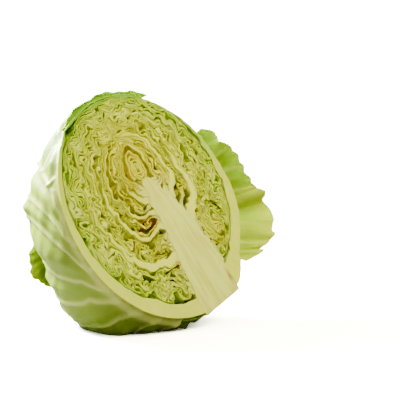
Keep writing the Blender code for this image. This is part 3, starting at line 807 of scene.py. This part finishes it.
def leaf_finish(slot):
    """Leaf tissue: waxy skin over wet, light-scattering flesh."""
    stops, reach, share, shine = TISSUES[slot]
    mat = bpy.data.materials.new(slot + "_tissue")
    mat.use_nodes = True
    tree = mat.node_tree
    shader = tree.nodes["Principled BSDF"]
    spot = add_node(tree, "ShaderNodeTexCoord").outputs["Object"]
    patch = add_node(tree, "ShaderNodeTexNoise", {"Scale": 1.0 / PATCH, "Detail": 3.0}, {"Vector": spot})
    mottle = add_node(tree, "ShaderNodeTexNoise", {"Scale": 1.0 / SPOT, "Detail": 2.0}, {"Vector": spot})
    cells = add_node(tree, "ShaderNodeTexVoronoi", {"Scale": 1.0 / PORE}, {"Vector": spot})
    level = add_node(tree, "ShaderNodeAttribute", {"attribute_name": "level"})
    blade = add_node(tree, "ShaderNodeValToRGB", {"stops": stops}, {"Fac": level.outputs["Fac"]})
    tone = add_node(tree, "ShaderNodeMapRange", {"To Min": 0.82, "To Max": 1.14},
                    {"Value": patch.outputs["Fac"]})
    uneven = add_node(tree, "ShaderNodeMix", {"data_type": "RGBA", "blend_type": "MULTIPLY", 0: 1.0},
                      {6: blade.outputs["Color"], 7: tone.outputs["Result"]})
    spotty = add_node(tree, "ShaderNodeMapRange", {"From Min": 0.3, "From Max": 0.7, "To Min": 0.72},
                      {"Value": mottle.outputs["Fac"]})
    colour = uneven.outputs[2]
    for mark, strength, shade in LAYERS:
        place = add_node(tree, "ShaderNodeAttribute", {"attribute_name": mark})
        amount = add_node(tree, "ShaderNodeMath", {"operation": "MULTIPLY", 1: strength},
                          {0: place.outputs["Fac"]})
        if mark == "rib":
            tree.links.new(spotty.outputs["Result"], amount.inputs[1])
        colour = add_node(tree, "ShaderNodeMix", {"data_type": "RGBA", 7: linear(shade)},
                          {0: amount.outputs[0], 6: colour}).outputs[2]
    fine = add_node(tree, "ShaderNodeMix", {"data_type": "RGBA", 0: 0.5},
                    {6: patch.outputs["Fac"], 7: cells.outputs["Distance"]})
    pores = add_node(tree, "ShaderNodeBump", {"Strength": 0.25, "Distance": PORE_DEPTH},
                     {"Height": fine.outputs[2]})
    tree.links.new(colour, shader.inputs["Base Color"])
    tree.links.new(pores.outputs["Normal"], shader.inputs["Normal"])
    shader.inputs["Roughness"].default_value = SKIN_ROUGHNESS
    shader.inputs["Specular IOR Level"].default_value = shine
    shader.inputs["Subsurface Weight"].default_value = share
    shader.inputs["Subsurface Radius"].default_value = RED_GREEN_BLUE_REACH
    shader.inputs["Subsurface Scale"].default_value = reach
    return mat


FINISHES = {slot: leaf_finish(slot) for slot in TISSUES}


# ---------------------------------------------------------------- stalk, heart, loose leaves

def core_marks(verts, heights, radius):
    """Fibres and the bruise of the stalk, at each point."""
    x, z = verts[:, 0], verts[:, 2]
    spread = (x + 3.0) / np.interp(z, heights, radius)
    grain = 0.6 * value_noise(spread * 7.0 + 20.0, z / 26.0 + 5.0, 41)
    grain = 0.5 + 0.5 * (grain + 0.4 * value_noise(spread * 19.0 + 30.0, z / 15.0 + 9.0, 42))
    bruise = 1.2 * bump(x, 22.5, 2.2) * bump(z, 12.0, 8.0)
    bruise = bruise * (0.55 + 0.45 * value_noise(x * 1.5, z / 3.0, 44))
    bruise = bruise + 0.7 * np.exp(-z / 1.8) * (0.5 + 0.5 * value_noise(spread * 4.0 + 9.0, z, 43))
    return {"rib": 1.0 - 0.55 * smoothstep((z - 84.0) / 30.0), "level": z / STALK_TIP,
            "streak": 0.75 * np.clip((grain - 0.4) / 0.6, 0.0, 1.0), "bruise": np.clip(bruise, 0.0, 1.0)}


def build_core():
    """The cut stalk: half a round taper, its face a hair proud so the leaves end at it."""
    across, count = 90, 200
    width = across + 1
    heights = np.linspace(0.0, STALK_TIP, count)
    turn = np.linspace(0.0, np.pi, width)
    middle, radius = core_shape(heights)
    rng = np.random.default_rng(3)
    uneven = sum(np.sin(heights / size + rng.uniform(0, 6.28)) for size in (1.3, 2.6, 4.4, 9.0)) * 0.28
    radius = radius + uneven * (1.0 + 1.6 * smoothstep((heights - 70.0) / 40.0))
    rounded = (radius - 3.5 * np.exp(-heights / 2.5))[:, None]
    domed = heights + 1.5 * np.exp(-heights / 3.0) * np.sin(turn)[:, None]
    curved = np.stack([middle[:, None] + rounded * np.cos(turn), rounded * np.sin(turn), domed.T], axis=-1)
    curved[:, 0, 1] = curved[:, -1, 1] = 0.0
    front = curved[:, :1] + (curved[:, -1:] - curved[:, :1]) * np.linspace(0.0, 1.0, width)[:, None]
    front[:, 1:-1, 1] = -0.06
    verts = np.concatenate([curved.reshape(-1, 3), front.reshape(-1, 3)])
    return make_piece("core", "core_cream", to_row(verts), closed_pair(count, width),
                      core_marks(verts, heights, radius))


def bud_path(steps):
    """The folded line of the bud's leaf on the cut, and its sideways direction."""
    t = np.linspace(0.0, 1.0, steps)
    turn = 2 * np.pi * BUD_TURNS * t - 0.6
    wobble = 0.55 * value_noise(turn * 1.1, 0.0 * t, 61) + 0.35 * value_noise(turn * 2.7, 0.0 * t, 62)
    reach = 0.10 + 0.82 * t + 0.09 * wobble
    path = np.stack([BUD_WIDE * reach * np.cos(turn), BUD_HIGH * reach * np.sin(turn)], axis=-1)
    along = np.gradient(path, axis=0)
    along /= np.linalg.norm(along, axis=1, keepdims=True) + 1e-9
    return path, np.stack([-along[:, 1], along[:, 0]], axis=-1)


def build_heart():
    """The bud: the last small leaf, folded to and fro in the space that is left."""
    steps, rows = 620, 8
    path, side = bud_path(steps)
    layers = []
    for sign in (BUD_LEAF / 2, -BUD_LEAF / 2):
        for depth in BUD_DEPTH * np.sin(np.linspace(0.0, 1.0, rows) * np.pi / 2):
            flat = (path + sign * side) * np.sqrt(max(1.0 - (depth / BUD_ROUND) ** 2, 0.02))
            line = (BUD_X + flat[:, 0], np.full(steps, depth), BUD_Z + flat[:, 1])
            layers.append(np.stack(line, axis=-1))
    points = crumple(np.array(layers)).reshape(-1, 3)
    marks = {"level": np.ones(len(points)), "cut": 0.35 * np.exp(-points[:, 1])}
    return make_piece("heart_bud", "heart_yellow", to_row(points), closed_pair(rows, steps), marks)


def closed_pair(rows, columns):
    """Faces of a thin closed piece: two grids one after the other, joined round their rim."""
    layer = rows * columns
    cell = (np.arange(rows - 1)[:, None] * columns + np.arange(columns - 1)).reshape(-1)
    quads = np.stack([cell, cell + 1, cell + 1 + columns, cell + columns], axis=1)
    rim = list(range(columns)) + [r * columns + columns - 1 for r in range(1, rows)]
    rim += [(rows - 1) * columns + c for c in range(columns - 2, -1, -1)]
    rim += [r * columns for r in range(rows - 2, 0, -1)]
    sides = [[b, a, a + layer, b + layer] for a, b in zip(rim, rim[1:] + rim[:1])]
    return quads.tolist() + (quads[:, ::-1] + layer).tolist() + sides


def build_sheet(name, slot, near, far, marks):
    """Closed free leaf from its two faces."""
    verts = np.concatenate([near.reshape(-1, 3), far.reshape(-1, 3)])
    marks = {mark: np.tile(values.reshape(-1), 2) for mark, values in marks.items()}
    return make_piece(name, slot, to_row(verts), closed_pair(*near.shape[:2]), marks)


def sheet_normals(points):
    """Unit normals of a gridded surface."""
    du = np.gradient(points, axis=1)
    dv = np.gradient(points, axis=0)
    normal = np.cross(du, dv)
    return normal / (np.linalg.norm(normal, axis=-1, keepdims=True) + 1e-9)


# how far the loose leaves stand off the rim: direction in degrees from level, millimetres
UPPER_EDGE = ((18.0, 7.0), (14.0, 15.0), (7.0, 18.0), (2.0, 21.0), (-2.4, 25.0), (-7.5, 27.0),
              (-12.0, 32.0), (-19.0, 27.0))
LOWER_EDGE = ((-14.0, 18.0), (-17.0, 27.0), (-22.0, 30.0), (-25.6, 41.0), (-28.6, 47.0), (-33.7, 39.0),
              (-39.0, 30.0), (-45.0, 19.0), (-53.0, 4.0))
# ruffles of each: how many, how high in mm, and how late they start towards the margin
UPPER_RUFFLES = ((1.7, 3.0, 0.7), (4.6, 2.6, 1.0), (9, 1.0, 2.0))
LOWER_RUFFLES = ((1.6, 4.5, 0.7), (3.8, 5.0, 0.8), (8, 1.5, 1.6))
EDGE_DEPTH = 3.0           # their margins stand this far behind the cut
STEMS = (0.16, 0.38, 0.6, 0.82)         # side veins across each
FLAP_LEAF, HUGGING_LEAF = 1.0, 1.0      # thickness
LIES_ON = -0.012           # where a hugging leaf lies, as a level just outside the rim's


def flap(edge_line, set_back, u, v):
    """Middle surface of a leaf that stands off behind the right rim."""
    directions, distances = np.array(edge_line).T
    direction = directions[0] + (directions[-1] - directions[0]) * u
    turn = np.radians(direction)
    far_off = np.interp(-direction, -directions, distances) + 1.2 * (EDGE_DEPTH + set_back)
    root = shell_point(-0.015, (270.0 - direction) / 360.0, 0.10 + 0.005 * far_off)
    outward = np.stack([np.cos(turn), np.zeros_like(turn), np.sin(turn)], axis=-1)
    middle = np.array([OUTER_SHIFT, EDGE_DEPTH + set_back, HEAD_MIDDLE])
    edge = middle + (HALF_WIDTH + far_off)[..., None] * outward
    return root + (edge - root) * v[..., None], outward


def build_flap(name, slot, edge_line, ruffles, set_back, seed):
    """A ruffled leaf: the margin has grown longer than the blade, so it waves."""
    u, v = np.meshgrid(np.linspace(0.0, 1.0, 220), np.linspace(0.0, 1.0, 90))
    bent = u + 0.045 * np.sin(2 * np.pi * (1.6 * u + seed * 0.13) + 2.2 * v) * v
    surface, outward = flap(edge_line, set_back, np.clip(bent, 0.0, 1.0), v)
    rng = np.random.default_rng(seed)
    ruffle = 0.0
    for count, height, late in ruffles:
        phase = rng.uniform(0.0, 2 * np.pi)
        wave = value_noise(2.3 * count * u + phase + 0.5 * np.sin(2.5 * v), 0.9 * v + phase, seed)
        ruffle = ruffle + 1.5 * height * v ** late * wave
    surface[..., 1] += ruffle * (1.0 - 0.7 * np.abs(2.0 * u - 1.0) ** 4)
    lobes = 1.5 * value_noise(u * 7.0 + seed, 0.0 * u, seed)
    lobes = lobes + 0.5 * value_noise(u * 40.0, 0.0 * u, seed + 1)
    hollow = 2.5 * np.sin(np.pi * v) * (1.0 + np.sin(4 * np.pi * u + seed))
    surface = surface + outward * (lobes * v ** 3 - hollow)[..., None]
    half = sheet_normals(surface) * (FLAP_LEAF / 2 * (1.0 - 0.5 * v ** 3))[..., None]
    stems = sum(bump(u - 0.1 * (v - 0.5), at, 0.022) for at in STEMS)
    # level runs from root to margin; the dark low end of the loose finishes at the root is painted shade
    # near the rim
    marks = {"rib": 0.55 * np.clip(stems, 0.0, 1.0) * (1.0 - 0.7 * v), "level": v}
    return build_sheet(name, slot, surface + half, surface - half, marks)


def build_hugging(name, slot, spread, seed, ruffles):
    """A leaf that lies on the head and peels off towards its free edge."""
    u, v = np.meshgrid(np.linspace(0.0, 1.0, 120), np.linspace(0.0, 1.0, 60))
    around, back, level = spread(u, v)
    surface = shell_point(level, around, back)
    rng = np.random.default_rng(seed)
    wave = 0.0
    for count, height in ruffles:
        wave = wave + height * (1.0 + np.sin(2 * np.pi * count * u + rng.uniform(0, 6.28) + 1.5 * v))
    outward = surface - np.array([OUTER_SHIFT, 0.0, HEAD_MIDDLE])
    outward /= np.linalg.norm(outward, axis=-1, keepdims=True)
    surface = surface + outward * (wave * v ** 2)[..., None]
    far = surface + outward * (HUGGING_LEAF * (1.0 - 0.5 * v ** 3))[..., None]
    # level 0 gives the dark end of the loose green, painted shade where the leaf leaves the head; the side
    # leaf takes that dark end all over
    root_shade_level = 0.0 * v if name == "side_leaf" else v
    return build_sheet(name, slot, surface, far, {"level": root_shade_level})


def side_spread(u, v):
    """On the left of the back, peeling off at its front edge."""
    peel = v ** 2 * np.sin(np.pi * (0.15 + 0.75 * u))
    narrow = 0.45 + 0.55 * np.sqrt(v)
    start = 0.86 + 0.10 * (2.0 * u - 1.0) ** 2 * (1.0 - v)
    return 0.275 + 0.13 * (u - 0.5) * narrow, start - (start - 0.64) * v, LIES_ON - 0.19 * peel


def crown_spread(u, v):
    """Over the top behind the rim."""
    narrow = 0.5 + 0.5 * np.sqrt(v)
    start = 0.36 - 0.16 * (2.0 * u - 1.0) ** 2 + 0.02 * np.sin(9.0 * u)
    peel = 0.055 * v ** 2 * (0.3 + 0.7 * u)
    return 0.51 + 0.175 * (u - 0.5) * narrow, start - (start - 0.015) * v, LIES_ON - peel


def stub_spread(u, v):
    """Torn stub under the stalk base."""
    return 0.028 + 0.04 * u, 0.012 + 0.045 * v, LIES_ON - 0.018 * v - 0.004 * np.sin(5.0 * u)


def leaf_slot(index):
    """Same finish as the solid's."""
    if index < 2:
        return "wrapper_green"
    if LEAF_KINDS[index] in "AB":
        return "rib_leaf"
    return "inner_leaf" if index < FIRST_HEART_LEAF else "heart_yellow"


def build_object():
    """Every piece."""
    rows = leaf_rows()
    fine_rows = np.concatenate([np.linspace(0.0, 0.12, 12)[:-1], np.linspace(0.12, 0.985, 56)])
    build_core()
    build_leaf(0, 560, fine_rows, leaf_slot(0), wrapper_relief)
    build_leaf(1, 480, fine_rows[::2], leaf_slot(1), side_relief)
    for index in range(2, COUNT):
        build_leaf(index, int(2 * np.pi * leaf_radius(index) / SAMPLE), rows, leaf_slot(index))
    build_heart()
    build_flap("ruffled_leaf_a", "loose_green", UPPER_EDGE, UPPER_RUFFLES, 4.0, 5)
    build_flap("ruffled_leaf_b", "loose_pale", LOWER_EDGE, LOWER_RUFFLES, 0.0, 8)
    build_hugging("side_leaf", "loose_green", side_spread, 21, ((3, 1.0), (7, 0.6)))
    build_hugging("crown_leaf", "loose_green", crown_spread, 22, ((3, 0.8), (8, 0.5)))
    build_hugging("leaf_stub", "stub_dark", stub_spread, 23, ((2, 0.6),))


# ---------------------------------------------------------------- table, light, camera

FLOOR_SIZE = 6.0           # metres each way
FLOOR_GREY = (0.13, 0.13, 0.10, 1.0)    # what the floor throws back on the head
FLOOR_WHITE = (8.0, 7.6, 13.0, 1.0)     # how bright it is printed
WORLD_WHITE = 22.0
WORLD_TINT = (0.97, 1.0, 0.58, 1.0)
# brighter overhead and behind: direction, from and to, brightness there
WORLD_SHADING = (("Z", -0.1, 0.9, 0.10, 1.35), ("Y", -0.8, 0.8, 0.45, 1.3))
# soft boxes: place, what they point at, size in metres, watts, colour
LIGHTS = {"back_left_box": ((-1.0, 0.55, 0.95), (-0.03, 0.0, 0.1), 0.7, 52.0, (1.0, 1.0, 0.7)),
          "left_strip": ((-0.38, 0.15, 0.42), (-0.08, 0.01, 0.14), 0.16, 36.0, (1.0, 1.0, 0.72)),
          "right_box": ((0.75, -0.5, 1.0), (0.02, 0.0, 0.08), 0.8, 27.0, (0.99, 1.0, 0.34))}
CAMERA_SPOT = (-19.46, -805.96, 130.0)  # from the foot of the stalk
CAMERA_LENS, CAMERA_SENSOR, CAMERA_PITCH = 89.82, 36.0, 88.0


def build_stage():
    """White sweep: matt paper, printed up to white where it runs back."""
    corners = [(x * FLOOR_SIZE, y * FLOOR_SIZE, 0.0) for x, y in ((-1, -1), (1, -1), (1, 1), (-1, 1))]
    mesh = bpy.data.meshes.new("floor")
    mesh.from_pydata(corners, [], [(0, 1, 2, 3)])
    floor = bpy.data.objects.new("floor", mesh)
    bpy.context.scene.collection.objects.link(floor)
    mat = bpy.data.materials.new("white_sweep")
    mat.use_nodes = True
    tree = mat.node_tree
    tree.nodes.remove(tree.nodes["Principled BSDF"])
    seen = add_node(tree, "ShaderNodeLightPath").outputs["Is Camera Ray"]
    colour = add_node(tree, "ShaderNodeMix", {"data_type": "RGBA", 6: FLOOR_GREY, 7: FLOOR_WHITE},
                      {0: seen})
    paper = add_node(tree, "ShaderNodeBsdfDiffuse", links={"Color": colour.outputs[2]})
    glow = add_node(tree, "ShaderNodeEmission", {"Strength": WORLD_WHITE})
    place = add_node(tree, "ShaderNodeTexCoord").outputs["Object"]
    away = add_node(tree, "ShaderNodeVectorMath", {"operation": "LENGTH"}, {0: place}).outputs["Value"]
    far = add_node(tree, "ShaderNodeMapRange", {"From Min": 0.30, "From Max": 0.75}, {"Value": away})
    fade = add_node(tree, "ShaderNodeMath", {"operation": "MULTIPLY"}, {0: far.outputs["Result"], 1: seen})
    both = add_node(tree, "ShaderNodeMixShader",
                    links={0: fade.outputs[0], 1: paper.outputs[0], 2: glow.outputs[0]})
    tree.links.new(both.outputs[0], tree.nodes["Material Output"].inputs["Surface"])
    mesh.materials.append(mat)


def build_surround():
    """White all round: brighter overhead and behind, and plain white where the camera sees it."""
    world = bpy.data.worlds.new("surround")
    bpy.context.scene.world = world
    world.use_nodes = True
    tree = world.node_tree
    generated = add_node(tree, "ShaderNodeTexCoord").outputs["Generated"]
    direction = add_node(tree, "ShaderNodeSeparateXYZ", links={"Vector": generated})
    strength = add_node(tree, "ShaderNodeMath", {"operation": "MULTIPLY"})
    for socket, (axis, low, high, dim, bright) in enumerate(WORLD_SHADING):
        shade = add_node(tree, "ShaderNodeMapRange", {"From Min": low, "From Max": high, "To Min": dim,
                                                      "To Max": bright}, {"Value": direction.outputs[axis]})
        tree.links.new(shade.outputs["Result"], strength.inputs[socket])
    warm = add_node(tree, "ShaderNodeMix", {"data_type": "RGBA", "blend_type": "MULTIPLY", 0: 1.0,
                                            7: WORLD_TINT}, {6: strength.outputs[0]})
    seen = add_node(tree, "ShaderNodeLightPath").outputs["Is Camera Ray"]
    shown = add_node(tree, "ShaderNodeMix", {"data_type": "RGBA", 7: (WORLD_WHITE,) * 3 + (1.0,)},
                     {0: seen, 6: warm.outputs[2]})
    tree.links.new(shown.outputs[2], tree.nodes["Background"].inputs["Color"])


def build_light():
    """A strong soft box behind left, a small one beside the wrapper leaf, one high on the right."""
    for name, (spot, aim, size, watts, colour) in LIGHTS.items():
        light = bpy.data.lights.new(name, "AREA")
        light.shape = "DISK"
        light.size, light.energy, light.color = size, watts, colour
        lamp = bpy.data.objects.new(name, light)
        bpy.context.scene.collection.objects.link(lamp)
        lamp.location = spot
        lamp.rotation_euler = (Vector(aim) - Vector(spot)).to_track_quat("-Z", "Y").to_euler()


def build_camera():
    """A little above level, 800 mm in front of the stalk base."""
    camera = bpy.data.cameras.new("camera")
    camera.lens, camera.sensor_width = CAMERA_LENS, CAMERA_SENSOR
    holder = bpy.data.objects.new("camera", camera)
    bpy.context.scene.collection.objects.link(holder)
    holder.location = tuple((np.array(CAMERA_SPOT) - SHIFT * (1.0, 1.0, 0.0)) * MM)
    holder.rotation_euler = (np.radians(CAMERA_PITCH), 0.0, 0.0)
    bpy.context.scene.camera = holder


build_object()
build_stage()
build_surround()
build_light()
build_camera()
